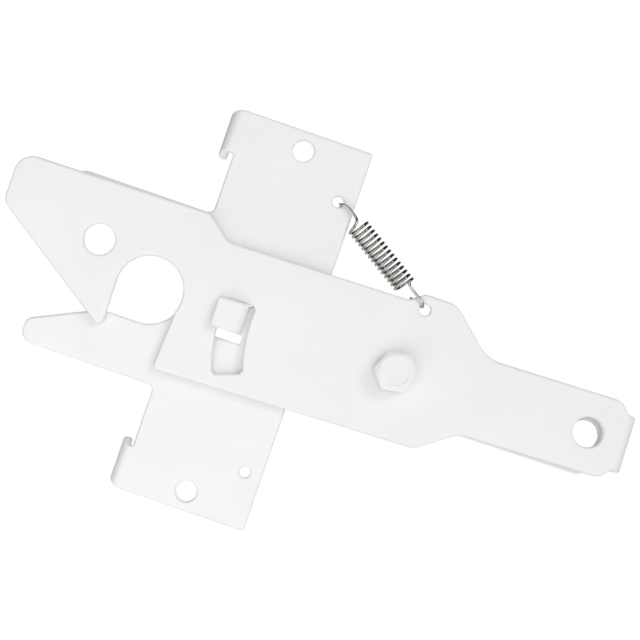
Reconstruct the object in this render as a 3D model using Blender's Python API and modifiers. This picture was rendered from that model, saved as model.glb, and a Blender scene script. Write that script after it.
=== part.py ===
"""Self-latching stair gate latch: a fork plate, a folded lever that drops over it, and a return spring.

Lengths in this file are millimetres, and every mesh is scaled to metres as it is made.
The back of the fork plate is the plane y = 0 and the front faces -Y. X runs along the plate,
from the fork mouth towards the handle, and Z is up, along the gate upright. The origin is on the
plate's back face, on its centre line, between the fork's throat and the window of the tongue.
"""

import math

import bmesh
import bpy
from mathutils import Matrix, Vector

MM = 0.001

# Sheet steel
SHEET = 3.0
EDGE = 0.8  # radius of the rolled, powder-coated edges
GAP = 0.4  # running gap between the plate and each leg of the lever

# Fork plate, above its centre line; the lower half is its mirror image
TAB_LEFT, TAB_RIGHT, TAB_END = -3.0, 46.1, 74.1
BODY_HALF = 33.8
NECK_HALF = 23.5
PIVOT_X = 79.5
PIVOT_BOSS = 20.0
THROAT_X, THROAT_R = -16.2, 13.3
MOUTH_X, MOUTH_HALF = -30.5, 13.3
TIP_X, TIP_HALF = -55.9, 25.3
SCREW_HOLE = (21.2, 66.8, 4.0)
SPRING_HOLE = (39.5, 53.1, 2.1)
FLANGE_X = {1: -4.6, -1: -3.5}  # where the upper and the lower flange start to bend
FLANGE_START, FLANGE_DEPTH = 57.3, 9.5
FLANGE_BEND = 2.5  # radius at the middle of the sheet
FLANGE_LOW, FLANGE_HIGH = 55.4, 70.5  # its ends behind the bend

# Tongue lanced out of the plate, which reaches through the lever's slot and lies on its front
TONGUE_HALF = 5.6
WINDOW_LEFT, WINDOW_RIGHT, WINDOW_HALF = 3.0, 22.3, 9.0
TONGUE_ROOT, TONGUE_BEND = 21.7, 2.0
TONGUE_TIP = 9.6
TONGUE_CLEAR = 0.35
TONGUE_DROP = 0.2  # its tip leans this far below its root

# Lever, in its own frame with the pivot at the origin
LEVER_TILT = 1.7  # degrees that the closed lever leans below the plate's centre line
HANDLE_HALF, STRAP_HALF = 14.8, 10.7
FOLD_X = 86.3
NOTCH_X, NOTCH_Z, NOTCH_R = -95.2, 2.2, 12.55
NOTCH_LIP = -22.0  # degrees, where the notch meets the front edge of the body
PADLOCK_HOLE = (-118.3, 14.4, 5.85)
GRIP_HOLE = (74.7, 0.0, 5.65)
HOOK_HOLE = (4.0, 25.2, 2.15)
SLOT_INNER, SLOT_OUTER, SLOT_BOTTOM = 56.0, 67.4, 198.0
SLOT_TOP_IN, SLOT_TOP_OUT = 172.3, 173.3  # its top end lies along the tongue
BACK_SKEW = -0.9  # degrees that the back leg leans from the front one
SHOULDER, BACK_SHOULDER = 84.5, 79.5  # where the handle narrows to the fold on each leg
BODY_BELOW = 25.2

# Pivot hardware, all on the lever's axis
BOLT_R, BORE_R, BUSHING_R, PLATE_BORE_R = 4.7, 5.05, 7.0, 7.35
HEX_ACROSS, HEAD_HEIGHT = 14.2, 5.8
SEAT = 0.3  # gap between pieces that are clamped together
WASHER_R, WASHER_THICK = 10.0, 1.5
RING_EDGE = 0.25  # chamfer on the outer edges of the turned rings
NUT_HEIGHT, INSERT_R, INSERT_HEIGHT = 8.0, 6.0, 2.2
THREAD_END = 1.6
HEAD_TURN, NUT_TURN = 23.0, 11.0  # degrees

# Return spring
WIRE_R, COIL_R, COIL_LENGTH = 0.52, 3.78, 28.3
COIL_FROM = 30.0  # degrees from the front where the coil starts, towards the lower left
TURN_STEPS = 12
COIL_STEPS = 178  # the coil stops as far before the front as it starts after it
WIRE_GAP = 0.3  # between the wire and the rim of its hole

# Depths: the front of a piece is at lower y
PLATE_MID = -SHEET / 2
FRONT_LEG_MID = -SHEET - GAP - SHEET / 2
FOLD_R = (GAP + SHEET / 2 - FRONT_LEG_MID) / 2


def arc(cx, cz, radius, start, end, step=11.25):
    """Points round a centre from one angle to another, in degrees."""
    count = max(2, math.ceil(abs(end - start) / step))
    angles = [math.radians(start + (end - start) * i / count) for i in range(count + 1)]
    return [(cx + radius * math.cos(a), cz + radius * math.sin(a)) for a in angles]


def on_circle(radius, degrees):
    return radius * math.cos(math.radians(degrees)), radius * math.sin(math.radians(degrees))


def circle(cx, cz, radius, sides=26):
    return arc(cx, cz, radius, 0, 360, 360 / sides)[:-1]


def rounded(corners):
    """A closed outline through (x, z) or (x, z, radius) corners, with each radius as a true fillet."""
    outline = []
    for i, corner in enumerate(corners):
        here = Vector(corner[:2])
        if len(corner) == 2:
            outline.append(tuple(here))
            continue
        back = (Vector(corners[i - 1][:2]) - here).normalized()
        on = (Vector(corners[(i + 1) % len(corners)][:2]) - here).normalized()
        half = back.angle(on) / 2
        centre = here + (back + on).normalized() * corner[2] / math.sin(half)
        first = here + back * corner[2] / math.tan(half) - centre
        last = here + on * corner[2] / math.tan(half) - centre
        start = math.degrees(math.atan2(first.y, first.x))
        turn = math.degrees(math.atan2(first.cross(last), first.dot(last)))
        outline += arc(centre.x, centre.y, corner[2], start, start + turn)
    return outline


def material(name, colour, roughness, metallic):
    made = bpy.data.materials.new(name)
    made.use_nodes = True
    shader = made.node_tree.nodes["Principled BSDF"]
    shader.inputs["Base Color"].default_value = (*colour, 1.0)
    shader.inputs["Roughness"].default_value = roughness
    shader.inputs["Metallic"].default_value = metallic
    return made


def add(name, mesh, collection, surface=None):
    """A new object that faces the front: its own Z points along -Y."""
    obj = bpy.data.objects.new(name, mesh)
    obj.rotation_euler = (math.radians(90), 0, 0)
    collection.objects.link(obj)
    if surface:
        mesh.materials.append(surface)
    mesh.shade_smooth()
    mesh.set_sharp_from_angle(angle=math.radians(35))
    return obj


def mesh_of_curve(curve):
    """The curve's own closed mesh, with its caps welded on."""
    guide = bpy.data.objects.new(curve.name, curve)
    bpy.context.scene.collection.objects.link(guide)
    graph = bpy.context.evaluated_depsgraph_get()
    mesh = bpy.data.meshes.new_from_object(guide.evaluated_get(graph))
    bpy.data.objects.remove(guide)
    bpy.data.curves.remove(curve)
    welded = bmesh.new()
    welded.from_mesh(mesh)
    bmesh.ops.remove_doubles(welded, verts=welded.verts, dist=0.002 * MM)
    bmesh.ops.recalc_face_normals(welded, faces=welded.faces)
    welded.to_mesh(mesh)
    welded.free()
    return mesh


def blank(name, outlines):
    """Flat sheet with rounded edges, cut to an outer outline and holes, centred on its own z = 0."""
    curve = bpy.data.curves.new(name, "CURVE")
    curve.dimensions = "2D"
    curve.fill_mode = "BOTH"
    curve.extrude = (SHEET / 2 - EDGE) * MM
    curve.bevel_depth = EDGE * MM
    curve.offset = -EDGE * MM
    curve.bevel_resolution = 1
    for outline in outlines:
        spline = curve.splines.new("POLY")
        spline.points.add(len(outline) - 1)
        for point, (x, z) in zip(spline.points, outline):
            point.co = (x * MM, z * MM, 0, 1)
        spline.use_cyclic_u = True
    return mesh_of_curve(curve)


def along(path, distance):
    """Where a bent strip's middle lies after a distance: (run, rise, direction in radians).

    The path is a list of (radius, degrees) bends and (length, None) flats. A bend with positive
    degrees turns towards the front, and the last flat goes on without end.
    """
    run, rise, heading = 0.0, 0.0, 0.0
    for size, degrees in path:
        length = size if degrees is None else size * abs(math.radians(degrees))
        step = min(distance, length) if (size, degrees) != path[-1] else distance
        if degrees is None:
            run += step * math.cos(heading)
            rise += step * math.sin(heading)
        else:
            side = math.copysign(1, degrees)
            turned = heading + side * step / size
            run += side * size * (math.sin(turned) - math.sin(heading))
            rise += side * size * (math.cos(heading) - math.cos(turned))
            heading = turned
        distance -= step
        if distance <= 0:
            break
    return run, rise, heading


def bend(mesh, start, side, path, chosen, arc_steps=6):
    """Bends the chosen part of a blank about a line at x = start. It reaches to that side, +1 or -1."""
    work = bmesh.new()
    work.from_mesh(mesh)
    cuts, at = [0.0], 0.0
    for size, degrees in path:
        length = size if degrees is None else size * abs(math.radians(degrees))
        steps = 1 if degrees is None else arc_steps
        cuts += [at + length * (i + 1) / steps for i in range(steps)]
        at += length
    for cut in cuts[:-1]:
        faces = [f for f in work.faces if not cut or all(chosen(v.co / MM) for v in f.verts)]
        edges = {e for f in faces for e in f.edges}
        corners = {v for f in faces for v in f.verts}
        bmesh.ops.bisect_plane(
            work, geom=[*faces, *edges, *corners], dist=1e-7,
            plane_co=((start + side * cut) * MM, 0, 0), plane_no=(1, 0, 0),
        )
    for vertex in work.verts:
        distance = side * (vertex.co.x / MM - start)
        if distance > 1e-4 and chosen(vertex.co / MM):
            run, rise, heading = along(path, distance)
            height = vertex.co.z / MM
            vertex.co.x = (start + side * (run - height * math.sin(heading))) * MM
            vertex.co.z = (rise + height * math.cos(heading)) * MM
    work.to_mesh(mesh)
    work.free()


def mounting_plate(parts, surface):
    flange_flat = FLANGE_DEPTH - FLANGE_BEND - SHEET / 2

    def half(side):
        """The corners above the centre line, for side 1, or below it, for side -1."""
        bend_x = FLANGE_X[side]
        tip_x = bend_x - FLANGE_BEND * math.pi / 2 - flange_flat
        corners = [
            (PIVOT_X + PIVOT_BOSS, PIVOT_BOSS, PIVOT_BOSS - 0.01),
            (PIVOT_X - 2, PIVOT_BOSS, 8.0),
            (TAB_RIGHT, NECK_HALF, 2.5),
            (TAB_RIGHT, TAB_END, 1.3),
            (bend_x - 0.2, TAB_END, 4.0),
            (bend_x - 6.5, FLANGE_HIGH, 5.0),
            (tip_x, FLANGE_HIGH, 1.0),
            (tip_x, FLANGE_LOW, 2.0),
            (bend_x - 3.2, FLANGE_LOW, 1.5),
            (bend_x - 0.6, FLANGE_START + 0.4, 1.0),
            (TAB_LEFT, FLANGE_START, 0.7),
            (TAB_LEFT, BODY_HALF, 2.5),
            (TIP_X, BODY_HALF, 4.5),
            (TIP_X, TIP_HALF, 4.0),
            (MOUTH_X, MOUTH_HALF, 6.0),
            (THROAT_X + THROAT_R, THROAT_R, THROAT_R - 0.01),
        ]
        return [(x, side * z, radius) for x, z, radius in corners]

    tongue_rise = PLATE_MID - (FRONT_LEG_MID - SHEET - TONGUE_CLEAR)
    riser = tongue_rise - 2 * TONGUE_BEND
    pad = TONGUE_ROOT - 2 * TONGUE_BEND - TONGUE_TIP
    tongue_length = math.pi * TONGUE_BEND + riser + pad
    window = [
        (WINDOW_RIGHT, WINDOW_HALF, 0.9),
        (WINDOW_LEFT, WINDOW_HALF, 1.5),
        (WINDOW_LEFT, -WINDOW_HALF, 1.5),
        (WINDOW_RIGHT, -WINDOW_HALF, 0.9),
        (WINDOW_RIGHT, -TONGUE_HALF, 0.9),
        (TONGUE_ROOT - tongue_length, -TONGUE_HALF - TONGUE_DROP, 1.2),
        (TONGUE_ROOT - tongue_length, TONGUE_HALF - TONGUE_DROP, 1.2),
        (WINDOW_RIGHT, TONGUE_HALF, 0.9),
    ]
    holes = [circle(x, side * z, r) for x, z, r in (SCREW_HOLE, SPRING_HOLE) for side in (1, -1)]
    bore = circle(PIVOT_X, 0, PLATE_BORE_R)
    mesh = blank("mounting_plate", [rounded(half(1) + half(-1)[::-1]), rounded(window), bore, *holes])

    def upper_flange(point):
        return point.x < FLANGE_X[1] + 1e-3 and point.y > BODY_HALF + 3

    def lower_flange(point):
        return point.x < FLANGE_X[-1] + 1e-3 and point.y < -BODY_HALF - 3

    def tongue(point):
        return WINDOW_LEFT + 0.1 < point.x < TONGUE_ROOT + 0.01 and abs(point.y) < WINDOW_HALF - 1

    flange_path = [(FLANGE_BEND, -90), (flange_flat, None)]
    bend(mesh, FLANGE_X[1], -1, flange_path, upper_flange)
    bend(mesh, FLANGE_X[-1], -1, flange_path, lower_flange)
    tongue_path = [(TONGUE_BEND, 90), (riser, None), (TONGUE_BEND, -90), (pad, None)]
    bend(mesh, TONGUE_ROOT, -1, tongue_path, tongue)
    plate = add("mounting_plate", mesh, parts, surface)
    plate.location.y = PLATE_MID * MM


def latch_lever(parts, surface, pivot):
    """Both legs and the fold between them are cut as one blank, and the fold then turns it over."""
    fold_length = math.pi * FOLD_R
    skew = Matrix.Rotation(math.radians(BACK_SKEW), 2)

    def unfolded(x, z, *radius):
        x, z = skew @ Vector((x, z))
        return (FOLD_X + fold_length + FOLD_X - x, z, *radius)

    neck = BACK_SHOULDER + 1.2
    front_below = [
        (-156.2, 17.3, 5.3),
        (-108.1, -17.3, 2.1),
        *arc(NOTCH_X, NOTCH_Z, NOTCH_R, 180, NOTCH_LIP, 9),
        (-85.7, -BODY_BELOW, 1.6),
        (15.4, 0.3 - BODY_BELOW, 5.0),
        (29.7, -HANDLE_HALF, 12.0),
        (SHOULDER, -HANDLE_HALF, 6.0),
        (SHOULDER + 2.2, -STRAP_HALF, 1.2),
    ]
    back_leg = [
        unfolded(neck, -STRAP_HALF, 1.2),
        unfolded(BACK_SHOULDER, -HANDLE_HALF, 4.0),
        unfolded(-HANDLE_HALF, -HANDLE_HALF, HANDLE_HALF - 0.01),
        unfolded(-HANDLE_HALF, HANDLE_HALF, HANDLE_HALF - 0.01),
        unfolded(BACK_SHOULDER, HANDLE_HALF, 4.0),
        unfolded(neck, STRAP_HALF, 1.2),
    ]
    front_above = [
        (SHOULDER + 2.2, STRAP_HALF, 1.2),
        (SHOULDER, HANDLE_HALF, 6.0),
        (31.4, HANDLE_HALF, 12.0),
        (14.8, 30.4, 7.0),
        (2.7, 30.8, 3.5),
        (-2.8, 27.0, 3.0),
        (-72.8, 27.5, 6.0),
        (-82.2, 35.5, 3.0),
        (-155.6, 36.7, 7.0),
    ]
    grip_x, grip_z, grip_r = GRIP_HOLE
    back_hole = unfolded(grip_x + 0.8, grip_z, grip_r)
    holes = [
        circle(*PADLOCK_HOLE),
        circle(*GRIP_HOLE),
        circle(*HOOK_HOLE),
        circle(0, 0, BORE_R),
        circle(*back_hole),
        circle(*unfolded(0, 0), BORE_R),
        slot_outline(),
    ]
    mesh = blank("latch_lever", [rounded(front_below + back_leg + front_above), *holes])
    bend(mesh, FOLD_X, 1, [(FOLD_R, -180), (1.0, None)], lambda point: point.x > FOLD_X - 0.001, 12)
    lever = add("latch_lever", mesh, parts, surface)
    lever.parent = pivot
    lever.location.y = FRONT_LEG_MID * MM
    return lever


def slot_outline():
    """The lever's arc slot: two arcs about the pivot, with the corners of its ends cut off."""
    corner = 1.2
    inside, outside = SLOT_INNER + corner, SLOT_OUTER - corner
    turn_in, turn_out = math.degrees(corner / SLOT_INNER), math.degrees(corner / SLOT_OUTER)
    return [
        *arc(0, 0, SLOT_INNER, SLOT_BOTTOM - turn_in, SLOT_TOP_IN + turn_in, 3.0),
        on_circle(inside, SLOT_TOP_IN),
        on_circle(outside, SLOT_TOP_OUT),
        *arc(0, 0, SLOT_OUTER, SLOT_TOP_OUT + turn_out, SLOT_BOTTOM - turn_out, 3.0),
        on_circle(outside, SLOT_BOTTOM),
        on_circle(inside, SLOT_BOTTOM),
    ]


def turned(name, profile, closed, steps=32):
    """A profile of (radius, height) points turned about its own Z. Its outer side runs downwards."""
    mesh = bpy.data.meshes.new(name)
    work = bmesh.new()
    points = [work.verts.new((r * MM, 0, h * MM)) for r, h in profile]
    pairs = zip(points, points[1:] + points[:1]) if closed else zip(points, points[1:])
    for a, b in pairs:
        work.edges.new((a, b))
    work.to_mesh(mesh)
    work.free()
    obj = bpy.data.objects.new(name, mesh)
    screw = obj.modifiers.new("turn", "SCREW")
    screw.steps = screw.render_steps = steps
    screw.use_merge_vertices = True
    screw.merge_threshold = 0.00001
    bpy.context.scene.collection.objects.link(obj)
    graph = bpy.context.evaluated_depsgraph_get()
    made = bpy.data.meshes.new_from_object(obj.evaluated_get(graph))
    made.name = name
    bpy.data.objects.remove(obj)
    return made


def prism(name, across, low, high):
    """A hexagonal prism between two heights, its flats that far apart."""
    mesh = bpy.data.meshes.new(name)
    work = bmesh.new()
    radius = across / math.sqrt(3)
    middle = Matrix.Translation((0, 0, (low + high) / 2 * MM))
    bmesh.ops.create_cone(
        work, cap_ends=True, segments=6, radius1=radius * MM, radius2=radius * MM,
        depth=(high - low) * MM, matrix=middle,
    )
    work.to_mesh(mesh)
    work.free()
    return mesh


def boolean(obj, operation, other):
    made = obj.modifiers.new(operation.lower(), "BOOLEAN")
    made.operation = operation
    made.solver = "EXACT"
    made.object = other


def cutter(name, mesh, cutters, pivot, like):
    helper = add(name, mesh, cutters)
    helper.parent = pivot
    helper.matrix_local = like.matrix_local
    helper.hide_render = True
    helper.display_type = "WIRE"
    return helper


def pivot_bolt(parts, cutters, surface, pivot):
    """Hex bolt: heights are measured from the front of the lever, towards the viewer."""
    end = -(SHEET + 2 * FOLD_R + SEAT + WASHER_THICK + SEAT + NUT_HEIGHT + THREAD_END)
    corner_r = HEX_ACROSS / math.sqrt(3)
    bolt = add("pivot_bolt", prism("pivot_bolt", HEX_ACROSS, SEAT, SEAT + HEAD_HEIGHT), parts, surface)
    bolt.parent = pivot
    bolt.location.y = (FRONT_LEG_MID - SHEET / 2) * MM
    bolt.rotation_euler.y = math.radians(HEAD_TURN)
    top = SEAT + HEAD_HEIGHT
    crown = [
        (0, top), (HEX_ACROSS / 2 - 1.6, top), (HEX_ACROSS / 2 - 0.9, top - 0.35),
        (corner_r + 0.3, top - 1.5), (corner_r + 0.3, SEAT - 1), (0, SEAT - 1),
    ]
    boolean(bolt, "INTERSECT", cutter("head_crown", turned("head_crown", crown, False), cutters, pivot, bolt))
    shank = [(0, top - 2), (BOLT_R, top - 2), (BOLT_R, end + 0.8), (BOLT_R - 0.8, end), (0, end)]
    boolean(bolt, "UNION", cutter("bolt_shank", turned("bolt_shank", shank, False), cutters, pivot, bolt))


def rings(parts, cutters, zinc, nylon, pivot):
    """Bushing, washer, lock nut and its nylon ring. Heights are distances in front of the plate's back."""
    back = -(GAP + SHEET)
    washer_top = back - SEAT
    nut_top = washer_top - WASHER_THICK - SEAT
    nut_end = nut_top - NUT_HEIGHT
    corner_r = HEX_ACROSS / math.sqrt(3)
    pieces = {
        "pivot_bushing": (BORE_R, BUSHING_R, SHEET + GAP - SEAT, -GAP + SEAT, zinc),
        "back_washer": (BORE_R, WASHER_R, washer_top, washer_top - WASHER_THICK, zinc),
        "nut_insert": (BORE_R - 0.05, INSERT_R, nut_end + INSERT_HEIGHT, nut_end + 0.3, nylon),
    }
    for name, (inner, outer, high, low, surface) in pieces.items():
        profile = [
            (outer - RING_EDGE, high), (outer, high - RING_EDGE), (outer, low + RING_EDGE),
            (outer - RING_EDGE, low), (inner, low), (inner, high),
        ]
        ring = add(name, turned(name, profile, True), parts, surface)
        ring.parent = pivot
    nut = add("lock_nut", prism("lock_nut", HEX_ACROSS, nut_end, nut_top), parts, zinc)
    nut.parent = pivot
    nut.rotation_euler.y = math.radians(NUT_TURN)
    seat_r = INSERT_R + SEAT
    body = [
        (HEX_ACROSS / 2 - 0.3, nut_top + 0.01), (corner_r + 0.2, nut_top - 0.8),
        (corner_r + 0.2, nut_end + 1.6), (HEX_ACROSS / 2 - 0.4, nut_end + 0.3),
        (HEX_ACROSS / 2 - 0.8, nut_end - 0.01),
        (seat_r, nut_end - 0.01), (seat_r, nut_end + INSERT_HEIGHT + SEAT),
        (BORE_R, nut_end + INSERT_HEIGHT + SEAT), (BORE_R, nut_top + 0.01),
    ]
    boolean(nut, "INTERSECT", cutter("nut_body", turned("nut_body", body, True), cutters, pivot, nut))


def return_spring(parts, surface):
    """Open coil between two hooks, each of which goes through its hole and back behind the sheet."""
    tilt = Matrix.Rotation(math.radians(LEVER_TILT), 2)
    low = tilt @ Vector(HOOK_HOLE[:2])
    top_hole = Vector((SPRING_HOLE[0], -PLATE_MID, SPRING_HOLE[1]))
    low_hole = Vector((PIVOT_X + low.x, -FRONT_LEG_MID, low.y))
    length = (low_hole - top_hole).length
    forward = (low_hole - top_hole).normalized()
    front = Vector((0, 1, 0))
    front = (front - front.dot(forward) * forward).normalized()
    across = forward.cross(front)
    start = (length - COIL_LENGTH) / 2

    # A hook from its free tip to the coil: (distance from the hole, across, in front of the sheet's middle)
    rim, flat = SPRING_HOLE[2] + EDGE, SHEET / 2 - EDGE
    reach = EDGE + WIRE_GAP + WIRE_R
    turns = [math.radians(22.5 * i) for i in range(5)]
    behind = [(rim - reach * math.sin(t), 0, -flat - reach * math.cos(t)) for t in turns]
    lean = [0, 0.1, 0.25, 0.5, 0.8]
    ahead = [(distance, aside, -depth) for (distance, _, depth), aside in zip(reversed(behind), lean)]
    hook = [(6.6, -0.85, -2.5), (4.6, -0.45, -2.45), *behind, *ahead]
    shoulder = [
        (start - 7.6, 1.25, 2.4), (start - 4.0, 1.35, 2.45), (start - 2.1, 1.15, 2.6),
        (start - 1.2, 0.6, 2.85), (start - 0.6, -0.5, 3.1),
    ]
    join = [(start - 7.6, 0.75, 2.4), (start - 2.4, 0.8, 2.5), (start - 1.1, 1.0, 2.7), (start - 0.4, 1.4, 3.0)]

    coil = []
    for i in range(COIL_STEPS + 1):
        angle = math.radians(COIL_FROM + 360 * i / TURN_STEPS)
        distance = start + COIL_LENGTH * i / COIL_STEPS
        coil.append((distance, -COIL_R * math.sin(angle), COIL_R * math.cos(angle)))
    lower_end = [(length - distance, aside, depth) for distance, aside, depth in reversed(hook + join)]
    route = hook + shoulder + coil + lower_end

    curve = bpy.data.curves.new("return_spring", "CURVE")
    curve.dimensions = "3D"
    curve.bevel_depth = WIRE_R * MM
    curve.bevel_resolution = 2
    curve.use_fill_caps = True
    spline = curve.splines.new("POLY")
    spline.points.add(len(route) - 1)
    for knot, (distance, aside, depth) in zip(spline.points, route):
        place = top_hole + forward * distance + across * aside + front * depth
        knot.co = (place.x * MM, place.z * MM, place.y * MM, 1)
    add("return_spring", mesh_of_curve(curve), parts, surface)


def main():
    for obj in list(bpy.data.objects):
        bpy.data.objects.remove(obj, do_unlink=True)
    parts = bpy.data.collections.new("stair_gate_latch")
    cutters = bpy.data.collections.new("cutters")
    bpy.context.scene.collection.children.link(parts)
    bpy.context.scene.collection.children.link(cutters)
    plate_coat = material("plate_coat", (0.86, 0.86, 0.86), 0.38, 0.0)
    lever_coat = material("lever_coat", (0.86, 0.86, 0.86), 0.38, 0.0)
    bolt_coat = material("bolt_coat", (0.84, 0.84, 0.84), 0.35, 0.0)
    zinc = material("zinc_steel", (0.66, 0.67, 0.68), 0.32, 1.0)
    nylon = material("nylon", (0.80, 0.81, 0.79), 0.5, 0.0)
    spring_steel = material("spring_steel", (0.72, 0.71, 0.70), 0.2, 1.0)

    pivot = bpy.data.objects.new("latch_pivot", None)
    pivot.location = (PIVOT_X * MM, 0, 0)
    pivot.rotation_euler = (0, math.radians(-LEVER_TILT), 0)
    parts.objects.link(pivot)

    mounting_plate(parts, plate_coat)
    latch_lever(parts, lever_coat, pivot)
    pivot_bolt(parts, cutters, bolt_coat, pivot)
    rings(parts, cutters, zinc, nylon, pivot)
    return_spring(parts, spring_steel)


main()
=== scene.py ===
"""Photographic scene of the stair gate latch: white powder-coated plates, a hex pivot bolt and a wire spring.

Lengths are in millimetres where a name ends in _mm or a helper says so, and metres otherwise.
"""

import math

import bpy
import numpy as np
from mathutils import Euler, Matrix, Vector


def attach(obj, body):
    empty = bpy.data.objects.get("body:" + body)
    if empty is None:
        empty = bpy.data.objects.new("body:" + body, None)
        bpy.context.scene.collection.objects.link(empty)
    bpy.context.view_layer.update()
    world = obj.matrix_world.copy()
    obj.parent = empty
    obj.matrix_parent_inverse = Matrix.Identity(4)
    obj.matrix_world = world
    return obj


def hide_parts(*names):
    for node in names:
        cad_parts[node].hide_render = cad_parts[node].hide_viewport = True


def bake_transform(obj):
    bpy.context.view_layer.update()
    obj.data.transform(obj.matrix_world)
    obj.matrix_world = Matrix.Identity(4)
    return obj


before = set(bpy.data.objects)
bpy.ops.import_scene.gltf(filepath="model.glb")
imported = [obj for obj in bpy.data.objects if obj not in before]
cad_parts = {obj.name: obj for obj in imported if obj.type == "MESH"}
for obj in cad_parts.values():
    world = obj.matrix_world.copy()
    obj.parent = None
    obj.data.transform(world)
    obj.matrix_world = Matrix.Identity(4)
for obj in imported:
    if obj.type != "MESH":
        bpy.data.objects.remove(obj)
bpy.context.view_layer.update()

MM = 0.001

# The part's own sizes, in millimetres and degrees
PIVOT_X, LEVER_TILT = 79.5, 1.7
SHEET, GAP, SEAT, EDGE = 3.0, 0.4, 0.3, 0.8
LEVER_FRONT_Y = -6.4
HEX_ACROSS, HEAD_HEIGHT, HEAD_TURN = 14.2, 5.8, 23.0
BOLT_R, BORE_R, BUSHING_R = 4.7, 5.05, 7.0
WASHER_R, WASHER_Y, WASHER_THICK = 10.0, 3.7, 1.5
NUT_Y, NUT_HEIGHT, NUT_TURN = 5.5, 8.0, 11.0
BOLT_END_Y = 15.1
THREAD_PITCH, THREAD_DEPTH, THREAD_LENGTH = 1.59, 0.55, 11.0

# Details that only the visual model has, in millimetres
HEAD_DISH = [  # radius and depth of the forged dish in the bolt's head, from its middle outwards
    (0.0, 0.3), (4.2, 0.3), (4.55, 0.27), (4.8, 0.2), (5.0, 0.1), (5.2, 0.03), (5.45, 0.0), (5.8, 0.0),
]
HEX_BLUNT, HEX_BEVEL = 0.125, 0.12  # off each corner, and along each edge
NUT_HEX, INSERT_R = 5.6, 6.0  # length of the nut's hexagon, before the collar that holds the insert

# Return spring, in millimetres. HOOK_HOLE is along and across the lever, from its pivot.
WIRE_R, COIL_R, COIL_LENGTH = 0.52, 3.78, 28.3
COIL_TURNS = 178 / 12  # it stops as far before the front as it starts after it
COIL_FROM = 30.0  # degrees from the front where the coil starts, towards the lower left
SPRING_TOP = (39.5, -1.5, 53.1)
HOOK_HOLE = (4.0, 25.2)
HOLE_R, WIRE_GAP = 2.1, 0.3
COIL_STEPS = 40  # points to a turn
WIRE_STEP = 0.18  # between points on the hooks

# Camera, in metres and degrees: it faces along +Y, rolled about its own view line
CAMERA_AT, CAMERA_ROLL = (0.037794, -0.403, -0.019479), 19.033
CAMERA_LENS, CAMERA_SHIFT = 60.647, (0.078125, 0.1015625)

# Studio light. The tent's brightness is BASE + X * x + FACE * y^2 + Z * z in each direction.
TENT_BASE, TENT_X, TENT_FACE, TENT_Z = 0.25, 0.22, 0.87, 0.06
CARD_DARK, CARD_BRIGHT = 0.02, 1.1  # what gloss mirrors
CARD_FROM, CARD_TO = 0.58, 0.95
OPEN_SIDE = (-0.54, -0.84)  # x and z of the direction at the side with no flag
JOINT_AT, JOINT_HALF, JOINT_DARK = 0.22, 0.12, 0.1  # height, half width and brightness
LAMPS = {  # direction, distance in metres, size in metres and power in watts
    "key": ((0.50, -0.65, 0.57), 2.5, 0.9, 10.0),
    "fill": ((-0.30, -0.72, -0.70), 0.42, 0.5, 0.52),
}
LAMPS_FACE = (0.045, 0.0, 0.0)  # the middle of the object
FLOOR_R, FLOOR_Z, FLOOR_SIDES, FLOOR_GLOW = 1.4, -0.62, 128, 0.1

COAT_WHITE = (0.91, 0.91, 0.91)


def camera():
    """The photograph's view. It also keeps the colours as the lights make them."""
    data = bpy.data.cameras.new("camera")
    data.sensor_width = 36.0
    data.lens = CAMERA_LENS
    data.shift_x, data.shift_y = CAMERA_SHIFT
    data.clip_start = 0.01
    made = bpy.data.objects.new("camera", data)
    made.matrix_world = (
        Matrix.Translation(CAMERA_AT)
        @ Matrix.Rotation(math.radians(90), 4, "X")
        @ Matrix.Rotation(math.radians(CAMERA_ROLL), 4, "Z")
    )
    bpy.context.scene.collection.objects.link(made)
    bpy.context.scene.camera = made
    bpy.context.scene.view_settings.view_transform = "Standard"


# --- Materials ---------------------------------------------------------------------------------


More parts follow.
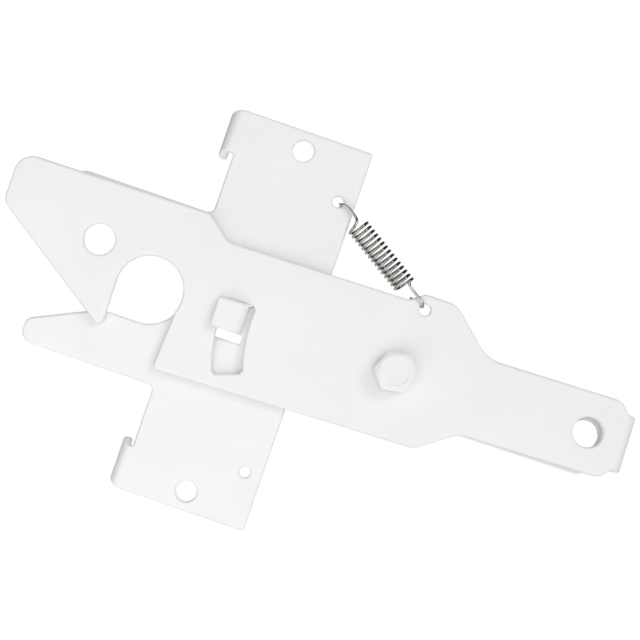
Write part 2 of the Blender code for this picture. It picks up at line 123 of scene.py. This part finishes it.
class Surface:
    """A procedural material: a Principled shader with helpers for the nodes that feed it."""

    def __init__(self, name, colour, roughness, metallic=0.0):
        self.material = bpy.data.materials.new(name)
        self.material.use_nodes = True
        self.tree = self.material.node_tree
        self.shader = self.tree.nodes["Principled BSDF"]
        self.shader.inputs["Base Color"].default_value = (*colour, 1.0)
        self.shader.inputs["Roughness"].default_value = roughness
        self.shader.inputs["Metallic"].default_value = metallic
        self.place = self.node("ShaderNodeTexCoord").outputs["Object"]

    def node(self, kind, **settings):
        made = self.tree.nodes.new(kind)
        for key, value in settings.items():
            setattr(made, key, value)
        return made

    def link(self, source, target):
        self.tree.links.new(source, target)

    def noise(self, size_mm, detail=2.0, stretch=None, source=None):
        """Noise whose cells are about that many millimetres across."""
        source = source or self.place
        if stretch:
            mapping = self.node("ShaderNodeMapping")
            mapping.inputs["Scale"].default_value = stretch
            self.link(source, mapping.inputs["Vector"])
            source = mapping.outputs["Vector"]
        made = self.node("ShaderNodeTexNoise")
        made.inputs["Scale"].default_value = 1 / (size_mm * MM)
        made.inputs["Detail"].default_value = detail
        self.link(source, made.inputs["Vector"])
        return made.outputs["Fac"]

    def spread(self, fac, low, high, near=0.35, far=0.65):
        """The noise's middle range, spread between two values."""
        made = self.node("ShaderNodeMapRange")
        for key, value in (("From Min", near), ("From Max", far), ("To Min", low), ("To Max", high)):
            made.inputs[key].default_value = value
        self.link(fac, made.inputs["Value"])
        return made.outputs["Result"]

    def tint(self, fac, first, second):
        """Base colour that drifts between two colours."""
        made = self.node("ShaderNodeMix", data_type="RGBA")
        self.link(fac, made.inputs["Factor"])
        made.inputs["A"].default_value = (*first, 1.0)
        made.inputs["B"].default_value = (*second, 1.0)
        self.link(made.outputs["Result"], self.shader.inputs["Base Color"])

    def rough(self, fac, low, high):
        """Roughness that drifts between two values."""
        self.link(self.spread(fac, low, high), self.shader.inputs["Roughness"])

    def bumps(self, *layers):
        """Bump layers of (height, strength, depth in mm), each laid over the one before."""
        last = None
        for height, strength, depth_mm in layers:
            made = self.node("ShaderNodeBump")
            made.inputs["Strength"].default_value = strength
            made.inputs["Distance"].default_value = depth_mm * MM
            self.link(height, made.inputs["Height"])
            if last:
                self.link(last, made.inputs["Normal"])
            last = made.outputs["Normal"]
        self.link(last, self.shader.inputs["Normal"])


def powder_coat(name, colour, roughness):
    """White powder coat: orange peel over a finer grain, with a slow drift in tint and gloss."""
    coat = Surface(name, colour, roughness)
    coat.tint(
        coat.spread(coat.noise(24, 3), 0, 1),
        [c * 0.985 for c in colour],
        [min(1.0, c * 1.01) for c in colour],
    )
    coat.rough(coat.noise(9, 4), roughness - 0.05, roughness + 0.05)
    coat.bumps((coat.noise(1.3, 1), 0.25, 0.03), (coat.noise(0.28, 2), 0.15, 0.012))
    return coat.material


def plated_steel(name, colour, roughness):
    """Bright zinc plate: mottled crystals, from cool to warm, over a fine grain."""
    zinc = Surface(name, colour, roughness, 1.0)
    zinc.tint(zinc.spread(zinc.noise(3.5, 4), 0, 1), (0.60, 0.62, 0.65), (0.74, 0.74, 0.72))
    zinc.rough(zinc.noise(1.2, 3), roughness - 0.08, roughness + 0.10)
    zinc.bumps((zinc.noise(0.5, 3), 0.2, 0.015))
    return zinc.material


def drawn_wire(name):
    """Bright drawn spring wire: fine scratches that run along it, from its own (round, along) map."""
    wire = Surface(name, (0.52, 0.50, 0.48), 0.13, 1.0)
    run = wire.node("ShaderNodeUVMap", uv_map="wire").outputs["UV"]
    lines = wire.noise(0.12, 2, (1, 0.03, 1), run)
    wire.tint(wire.spread(lines, 0, 1), (0.40, 0.385, 0.37), (0.64, 0.62, 0.60))
    wire.rough(lines, 0.08, 0.18)
    wire.bumps((lines, 0.15, 0.01))
    return wire.material


def moulded_nylon(name):
    """Off-white nylon that lets a little light in."""
    nylon = Surface(name, (0.78, 0.79, 0.77), 0.48)
    nylon.tint(nylon.spread(nylon.noise(2.5, 3), 0, 1), (0.74, 0.75, 0.73), (0.82, 0.83, 0.81))
    nylon.shader.inputs["Subsurface Weight"].default_value = 0.15
    nylon.shader.inputs["Subsurface Scale"].default_value = 0.8 * MM
    nylon.bumps((nylon.noise(0.4, 2), 0.2, 0.01))
    return nylon.material


# --- Meshes ------------------------------------------------------------------------------------


def mesh_piece(name, points_mm, faces, surface, matrix=None, sharp=32):
    """A smooth-shaded object with an edge wherever its faces turn by more than sharp degrees."""
    mesh = bpy.data.meshes.new(name)
    mesh.from_pydata([tuple(c * MM for c in p) for p in points_mm], [], faces)
    mesh.validate()
    mesh.materials.append(surface)
    mesh.shade_smooth()
    mesh.set_sharp_from_angle(angle=math.radians(sharp))
    made = bpy.data.objects.new(name, mesh)
    if matrix:
        made.matrix_world = matrix
    bpy.context.scene.collection.objects.link(made)
    return made


def on_pivot(y_mm, turn=0.0):
    """Placement on the pivot's axis at a depth, with the piece's own Z towards the viewer."""
    return (
        Matrix.Translation((PIVOT_X * MM, 0, 0))
        @ Matrix.Rotation(math.radians(-LEVER_TILT), 4, "Y")
        @ Matrix.Translation((0, y_mm * MM, 0))
        @ Euler((math.radians(90), math.radians(turn), 0)).to_matrix().to_4x4()
    )


def lathe(rows, sides=96):
    """Points and faces of stacked loops. Each row is a function of angle that gives (radius, height).

    The first and the last row close the piece: a radius of 0 there becomes one point.
    """
    points, loops = [], []
    for row in rows:
        radius, height = row(0.0)
        if radius < 1e-6:
            loops.append([len(points)])
            points.append((0.0, 0.0, height))
            continue
        loops.append(list(range(len(points), len(points) + sides)))
        for i in range(sides):
            angle = 2 * math.pi * i / sides
            radius, height = row(angle)
            points.append((radius * math.cos(angle), radius * math.sin(angle), height))
    faces = []
    for low, high in zip(loops, loops[1:]):
        for i in range(sides):
            j = (i + 1) % sides
            if len(low) == 1:
                faces.append((low[0], high[j], high[i]))
            elif len(high) == 1:
                faces.append((low[i], low[j], high[0]))
            else:
                faces.append((low[i], low[j], high[j], high[i]))
    return points, [face[::-1] for face in faces]


def round_rows(profile):
    """Rows of a round section, from its (radius, height) points."""
    return [lambda angle, r=r, h=h: (r, h) for r, h in profile]


def ring_rows(profile):
    """Rows of a closed ring section: the last row meets the first again."""
    return round_rows([*profile, profile[0]])


def hex_radius(angle, across):
    """Radius of a hexagon with its flats that far apart and its corners slightly blunted."""
    from_flat = (angle + math.pi / 6) % (math.pi / 3) - math.pi / 6
    return min(across / 2 / math.cos(from_flat), across / math.sqrt(3) - HEX_BLUNT)


def weld(obj, distance=1e-6):
    obj.modifiers.new("weld", "WELD").merge_threshold = distance


# --- Pivot hardware ----------------------------------------------------------------------------


def hex_rows(low, high, crown, foot):
    """The side of a hexagon between two cones: rows from the top's flat circle to the bottom's.

    crown and foot are (radius of the flat circle, drop per mm outside it).
    """
    (top_r, top_drop), (foot_r, foot_drop) = crown, foot

    def edge(angle):
        return hex_radius(angle, HEX_ACROSS)

    def on_crown(angle, share):
        out = (edge(angle) - HEX_BEVEL - top_r) * share
        return top_r + out, high - top_drop * out

    def under_crown(angle, inset, below):
        return edge(angle) - inset, high - top_drop * (edge(angle) - top_r) - below

    def over_foot(angle, inset, above):
        return edge(angle) - inset, low + foot_drop * (edge(angle) - inset - foot_r) + above

    rows = [lambda a, s=share: on_crown(a, s) for share in (0.0, 0.04, 0.3, 0.6, 0.9)]
    rows += [
        lambda a: under_crown(a, HEX_BEVEL * 0.3, HEX_BEVEL * 0.1),
        lambda a: under_crown(a, 0, HEX_BEVEL),
    ]
    rows += [lambda a, s=share: (edge(a), high - (high - low) * s) for share in (0.33, 0.67)]
    rows += [lambda a: over_foot(a, 0, HEX_BEVEL), lambda a: over_foot(a, HEX_BEVEL, 0)]
    return rows + round_rows([(foot_r, low)])


def bolt_shank_rows(top, end):
    """A plain shank whose last stretch carries a cut thread, down to a chamfered tip."""
    thread_from = end + THREAD_LENGTH

    def thread(angle, height):
        phase = (height / THREAD_PITCH - angle / (2 * math.pi)) % 1.0
        groove = min(1.0, max(0.0, 1.35 * (1 - abs(2 * phase - 1)) - 0.15))
        runout = min(1.0, (thread_from - height) / 1.5)
        tip = BOLT_R - 0.9 + (height - end)
        return min(BOLT_R - THREAD_DEPTH * groove * runout, tip), height

    steps = int(THREAD_LENGTH / THREAD_PITCH * 10)
    heights = [thread_from - THREAD_LENGTH * i / steps for i in range(steps + 1)]
    rows = round_rows([(BOLT_R, top), (BOLT_R, thread_from + 0.3)])
    rows += [lambda a, h=height: thread(a, h) for height in heights]
    return rows + round_rows([(BOLT_R - 1.1, end), (0.0, end)])


def stand_in(piece, node):
    """The piece stands for a CAD node that turns with the lever."""
    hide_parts(node)
    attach(piece, "lever")


def pivot_bolt(coat):
    """Hex bolt with a dished head, a washer face and a thread at its end."""
    top, low = SEAT + HEAD_HEIGHT, SEAT
    rows = round_rows([(radius, top - depth) for radius, depth in HEAD_DISH])
    rows += hex_rows(low, top, (HEX_ACROSS / 2 - 1.0, 0.5), (HEX_ACROSS / 2 - 0.4, 0.3))
    rows += round_rows([(BOLT_R + 0.25, low), (BOLT_R, low - 0.1)])
    rows += bolt_shank_rows(low - 0.4, LEVER_FRONT_Y - BOLT_END_Y)
    bolt = mesh_piece("hex_pivot_bolt", *lathe(rows), coat, on_pivot(LEVER_FRONT_Y, HEAD_TURN))
    stand_in(bolt, "pivot_bolt")


def lock_nut(zinc, nylon):
    """Nylon-insert nut: a chamfered hexagon with a rolled collar that holds the ring."""
    end, collar = -NUT_HEIGHT, HEX_ACROSS / 2 - 0.45
    rows = round_rows([(BORE_R + 0.05, -0.5), (BORE_R + 0.45, 0.0)])
    rows += hex_rows(-NUT_HEX, 0.0, (HEX_ACROSS / 2 - 0.5, 0.4), (HEX_ACROSS / 2 - 0.1, 0.55))
    rows += round_rows([
        (collar, -NUT_HEX - 0.05), (collar, end + 1.1), (collar - 0.25, end + 0.45),
        (collar - 0.75, end + 0.1), (collar - 1.15, end), (INSERT_R + 0.15, end + 0.08),
        (INSERT_R + 0.05, end + 0.35), (INSERT_R + 0.3, end + 0.6), (INSERT_R + 0.3, end + 2.45),
        (BORE_R + 0.05, end + 2.5), (BORE_R + 0.05, -0.5),
    ])
    nut = mesh_piece("nylon_lock_nut", *lathe(rows), zinc, on_pivot(NUT_Y, NUT_TURN))
    weld(nut)
    stand_in(nut, "lock_nut")

    low, high, inner = end + 0.55, end + 2.2, BORE_R - 0.02
    profile = [
        (INSERT_R, high), (INSERT_R, low + 0.2), (INSERT_R - 0.2, low), (inner + 0.45, low - 0.1),
        (inner + 0.15, low), (inner, low + 0.25), (inner, high),
    ]
    insert = mesh_piece("nylon_ring", *lathe(ring_rows(profile), 72), nylon, on_pivot(NUT_Y))
    weld(insert)
    stand_in(insert, "nut_insert")


def flat_rings(zinc):
    """The punched washer, with one rounded and one sheared edge, and the turned bushing."""
    back, length = -WASHER_THICK, SHEET + 2 * (GAP - SEAT)
    washer_profile = [
        (WASHER_R - 0.45, 0.0), (WASHER_R - 0.18, -0.07), (WASHER_R - 0.04, -0.25), (WASHER_R, -0.5),
        (WASHER_R, back + 0.12), (WASHER_R - 0.1, back), (BORE_R + 0.12, back), (BORE_R, back + 0.12),
        (BORE_R, -0.3), (BORE_R + 0.25, 0.0),
    ]
    bushing_profile = [
        (BUSHING_R - 0.3, 0.0), (BUSHING_R - 0.08, -0.08), (BUSHING_R, -0.3), (BUSHING_R, 0.3 - length),
        (BUSHING_R - 0.08, 0.08 - length), (BUSHING_R - 0.3, -length), (BORE_R + 0.2, -length),
        (BORE_R, 0.2 - length), (BORE_R, -0.2), (BORE_R + 0.2, 0.0),
    ]
    for name, node, profile, y in (
        ("punched_washer", "back_washer", washer_profile, WASHER_Y),
        ("turned_bushing", "pivot_bushing", bushing_profile, SEAT - GAP - SHEET),
    ):
        ring = mesh_piece(name, *lathe(ring_rows(profile)), zinc, on_pivot(y))
        weld(ring)
        stand_in(ring, node)


# --- Return spring -----------------------------------------------------------------------------


def smooth_path(knots, step):
    """Points about a step apart on a centripetal Catmull-Rom curve through the knots, ends included."""
    knots = [Vector(k) for k in knots]
    knots = [2 * knots[0] - knots[1], *knots, 2 * knots[-1] - knots[-2]]
    made = []
    for a, b, c, d in zip(knots, knots[1:], knots[2:], knots[3:]):
        t1 = (b - a).length ** 0.5
        t2 = t1 + (c - b).length ** 0.5
        t3 = t2 + (d - c).length ** 0.5
        count = max(1, round((c - b).length / step))
        for i in range(count):
            t = t1 + (t2 - t1) * i / count
            ab = a.lerp(b, t / t1)
            bc = b.lerp(c, (t - t1) / (t2 - t1))
            cd = c.lerp(d, (t - t2) / (t3 - t2))
            abc = ab.lerp(bc, t / t2)
            bcd = bc.lerp(cd, (t - t1) / (t3 - t1))
            made.append(abc.lerp(bcd, (t - t1) / (t2 - t1)))
    return [*made, knots[-2]]


def spring_route():
    """The wire's middle line, in millimetres, and the middles of the two holes that it hooks into."""
    top = Vector(SPRING_TOP)
    tilt = math.radians(LEVER_TILT)
    low = Vector((
        PIVOT_X + HOOK_HOLE[0] * math.cos(tilt) - HOOK_HOLE[1] * math.sin(tilt),
        LEVER_FRONT_Y + SHEET / 2,
        HOOK_HOLE[0] * math.sin(tilt) + HOOK_HOLE[1] * math.cos(tilt),
    ))
    length = (low - top).length
    forward = (low - top).normalized()
    front = Vector((0, -1, 0))
    front = (front - front.dot(forward) * forward).normalized()
    across = front.cross(forward)
    start = (length - COIL_LENGTH) / 2

    def place(distance, aside, depth):
        return top + forward * distance + across * aside + front * depth

    # A hook from its free tip to the front of its sheet: (distance from the hole, aside, in front)
    rim, flat = HOLE_R + EDGE, SHEET / 2 - EDGE
    reach = EDGE + WIRE_GAP + WIRE_R
    turns = [math.radians(18 * i) for i in range(6)]
    behind = [(rim - reach * math.sin(t), 0, -flat - reach * math.cos(t)) for t in turns]
    lean = [0, 0.06, 0.16, 0.32, 0.54, 0.8]
    ahead = [(distance, aside, -depth) for (distance, _, depth), aside in zip(reversed(behind), lean)]
    hook = [(6.6, -0.85, -2.5), (5.6, -0.65, -2.5), (4.4, -0.35, -2.45), *behind, *ahead]
    shoulder = [
        (start - 7.6, 1.25, 2.4), (start - 4.0, 1.35, 2.45), (start - 2.1, 1.15, 2.6),
        (start - 1.2, 0.6, 2.85), (start - 0.6, -0.5, 3.1),
    ]
    join = [
        (start - 7.6, 0.75, 2.4), (start - 2.4, 0.8, 2.5), (start - 1.1, 1.0, 2.7), (start - 0.4, 1.4, 3.0),
    ]

    coil = []
    count = round(COIL_TURNS * COIL_STEPS)
    for i in range(count + 1):
        angle = math.radians(COIL_FROM) + 2 * math.pi * COIL_TURNS * i / count
        distance = start + COIL_LENGTH * i / count
        coil.append(place(distance, -COIL_R * math.sin(angle), COIL_R * math.cos(angle)))
    upper = smooth_path([place(*knot) for knot in hook + shoulder] + coil[:2], WIRE_STEP)
    lower = [place(length - distance, aside, depth) for distance, aside, depth in reversed(hook + join)]
    lower = smooth_path(coil[-2:] + lower, WIRE_STEP)
    return upper[:-1] + coil[2:-2] + lower[1:], top, low


def tube(route, radius, sides=14):
    """A round wire along a route with rounded ends, and its (round, along) map, all in millimetres."""
    side = (route[1] - route[0]).orthogonal()
    along, rings = 0.0, []
    for i, here in enumerate(route):
        heading = (route[min(i + 1, len(route) - 1)] - route[max(i - 1, 0)]).normalized()
        side = (side - side.dot(heading) * heading).normalized()
        if i:
            along += (here - route[i - 1]).length
        rings.append((here, heading, side, along, 1.0))

    def past(ring, out, size):
        here, heading, side, along, _ = ring
        return here + heading * radius * out, heading, side, along, size

    dome = [(0.94, 0.35), (0.72, 0.69), (0.35, 0.93)]  # (size, place past the end), in wire radii
    before = [past(rings[0], -out, size) for size, out in reversed(dome)]
    after = [past(rings[-1], out, size) for size, out in dome]
    rings = before + rings + after

    points, faces, uvs = [], [], []
    for here, heading, side, _, size in rings:
        other = heading.cross(side)
        for k in range(sides):
            angle = 2 * math.pi * k / sides
            points.append(here + (side * math.cos(angle) + other * math.sin(angle)) * radius * size)
    strip = 2 * math.pi * radius / sides
    for r in range(len(rings) - 1):
        low, high = rings[r][3], rings[r + 1][3]
        for k in range(sides):
            j = (k + 1) % sides
            faces.append((r * sides + k, r * sides + j, (r + 1) * sides + j, (r + 1) * sides + k))
            uvs += [(strip * k, low), (strip * (k + 1), low), (strip * (k + 1), high), (strip * k, high)]
    faces.append(tuple(range(sides))[::-1])
    faces.append(tuple(range((len(rings) - 1) * sides, len(rings) * sides)))
    uvs += [(0.0, 0.0)] * (2 * sides)
    return points, faces, uvs


def return_spring(wire):
    """The spring hangs on the plate at one end and on the lever at the other."""
    route, top, low = spring_route()
    points, faces, uvs = tube(route, WIRE_R)
    spring = mesh_piece("wire_return_spring", points, faces, wire, sharp=60)
    layer = spring.data.uv_layers.new(name="wire")
    layer.data.foreach_set("uv", (np.array(uvs) * MM).astype(np.float32).ravel())
    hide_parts("return_spring")
    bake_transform(spring)


# --- Sheet metal -------------------------------------------------------------------------------


def coat_node(name, surface):
    """A CAD sheet keeps its shape: it gets the coat, and its rolled edges shade as one surface."""
    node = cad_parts[name]
    node.data.materials.clear()
    node.data.materials.append(surface)
    for polygon in node.data.polygons:
        polygon.use_smooth = True
    weld(node, 2e-6)
    normals = node.modifiers.new("normals", "WEIGHTED_NORMAL")
    normals.mode = "FACE_AREA"
    normals.weight = 60


# --- Studio ------------------------------------------------------------------------------------


class Sky:
    """A world made of nodes that work on the direction a ray leaves in."""

    def __init__(self, name):
        self.world = bpy.data.worlds.new(name)
        self.world.use_nodes = True
        self.tree = self.world.node_tree
        self.tree.nodes.clear()
        parts = self.node("ShaderNodeSeparateXYZ")
        self.tree.links.new(self.node("ShaderNodeTexCoord").outputs["Generated"], parts.inputs[0])
        self.x, self.y, self.z = parts.outputs

    def node(self, kind, **settings):
        made = self.tree.nodes.new(kind)
        for key, value in settings.items():
            setattr(made, key, value)
        return made

    def maths(self, operation, first, second=None):
        made = self.node("ShaderNodeMath", operation=operation)
        for socket, value in zip(made.inputs, (first, second)):
            if isinstance(value, (int, float)):
                socket.default_value = value
            elif value is not None:
                self.tree.links.new(value, socket)
        return made.outputs[0]

    def add(self, *terms):
        """The sum of (value, factor) pairs."""
        total = self.maths("MULTIPLY", *terms[0])
        for term in terms[1:]:
            total = self.maths("ADD", total, self.maths("MULTIPLY", *term))
        return total

    def ramp(self, value, start, end, low, high):
        made = self.node("ShaderNodeMapRange", interpolation_type="SMOOTHSTEP")
        for key, number in (("From Min", start), ("From Max", end), ("To Min", low), ("To Max", high)):
            made.inputs[key].default_value = number
        self.tree.links.new(value, made.inputs["Value"])
        return made.outputs["Result"]

    def choose(self, ray, when_it_is, otherwise):
        """One brightness for a kind of ray, and another for the rest."""
        made = self.node("ShaderNodeMix", data_type="FLOAT")
        self.tree.links.new(self.node("ShaderNodeLightPath").outputs[ray], made.inputs["Factor"])
        self.tree.links.new(otherwise, made.inputs["A"])
        if isinstance(when_it_is, float):
            made.inputs["B"].default_value = when_it_is
        else:
            self.tree.links.new(when_it_is, made.inputs["B"])
        return made.outputs["Result"]


def backdrop():
    """White behind the object. It is lit by a tent, and its gloss mirrors white cards and dark flags."""
    sky = Sky("studio")
    x, y, z = sky.x, sky.y, sky.z
    tent = sky.add((x, TENT_X), (z, TENT_Z), (sky.maths("MULTIPLY", y, y), TENT_FACE))
    tent = sky.maths("MAXIMUM", sky.maths("ADD", tent, TENT_BASE), 0.05)

    # White cards in front, behind and at the open side, dark flags at the other sides, and a dark
    # joint between the front card and the one above it
    white = sky.maths("MAXIMUM", sky.maths("ABSOLUTE", y), sky.add((x, OPEN_SIDE[0]), (z, OPEN_SIDE[1])))
    card = sky.ramp(white, CARD_FROM, CARD_TO, CARD_DARK, CARD_BRIGHT)
    joint = sky.maths("ABSOLUTE", sky.maths("SUBTRACT", z, JOINT_AT))
    card = sky.maths("MULTIPLY", card, sky.ramp(joint, 0.03, JOINT_HALF, JOINT_DARK, 1.0))

    brightness = sky.choose("Is Camera Ray", 1.0, sky.choose("Is Glossy Ray", card, tent))
    background = sky.node("ShaderNodeBackground")
    background.inputs["Color"].default_value = (1, 1, 1, 1)
    sky.tree.links.new(brightness, background.inputs["Strength"])
    sky.tree.links.new(background.outputs[0], sky.node("ShaderNodeOutputWorld").inputs["Surface"])
    bpy.context.scene.world = sky.world


def lamps():
    for name, (direction, distance, size, power) in LAMPS.items():
        lamp = bpy.data.lights.new(name, "AREA")
        lamp.shape = "DISK"
        lamp.size = size
        lamp.energy = power
        holder = bpy.data.objects.new(name, lamp)
        aim = Vector(direction).normalized()
        holder.location = aim * distance + Vector(LAMPS_FACE)
        holder.rotation_euler = aim.to_track_quat("Z", "Y").to_euler()
        bpy.context.scene.collection.objects.link(holder)


def floor():
    """A round sheet of pale paper, under the camera's view."""
    turns = [2 * math.pi * i / FLOOR_SIDES for i in range(FLOOR_SIDES)]
    mesh = bpy.data.meshes.new("floor")
    mesh.from_pydata(
        [(FLOOR_R * math.cos(t), FLOOR_R * math.sin(t), FLOOR_Z) for t in turns],
        [], [tuple(range(FLOOR_SIDES))],
    )
    made = bpy.data.objects.new("floor", mesh)
    bpy.context.scene.collection.objects.link(made)
    paper = Surface("floor_paper", (0.92, 0.92, 0.92), 0.8)
    paper.shader.inputs["Emission Color"].default_value = (1.0, 1.0, 1.0, 1.0)
    paper.shader.inputs["Emission Strength"].default_value = FLOOR_GLOW
    paper.tint(paper.spread(paper.noise(60, 3), 0, 1), (0.91, 0.91, 0.91), (0.93, 0.93, 0.93))
    paper.bumps((paper.noise(1.5, 3), 0.1, 0.05))
    mesh.materials.append(paper.material)


camera()
backdrop()
lamps()
floor()

coat_node("mounting_plate", powder_coat("plate_powder_coat", COAT_WHITE, 0.36))
coat_node("latch_lever", powder_coat("lever_powder_coat", COAT_WHITE, 0.36))
pivot_bolt(powder_coat("bolt_paint", COAT_WHITE, 0.32))
bright_zinc = plated_steel("zinc_plate", (0.66, 0.67, 0.68), 0.3)
lock_nut(bright_zinc, moulded_nylon("moulded_nylon"))
flat_rings(bright_zinc)
return_spring(drawn_wire("drawn_spring_wire"))
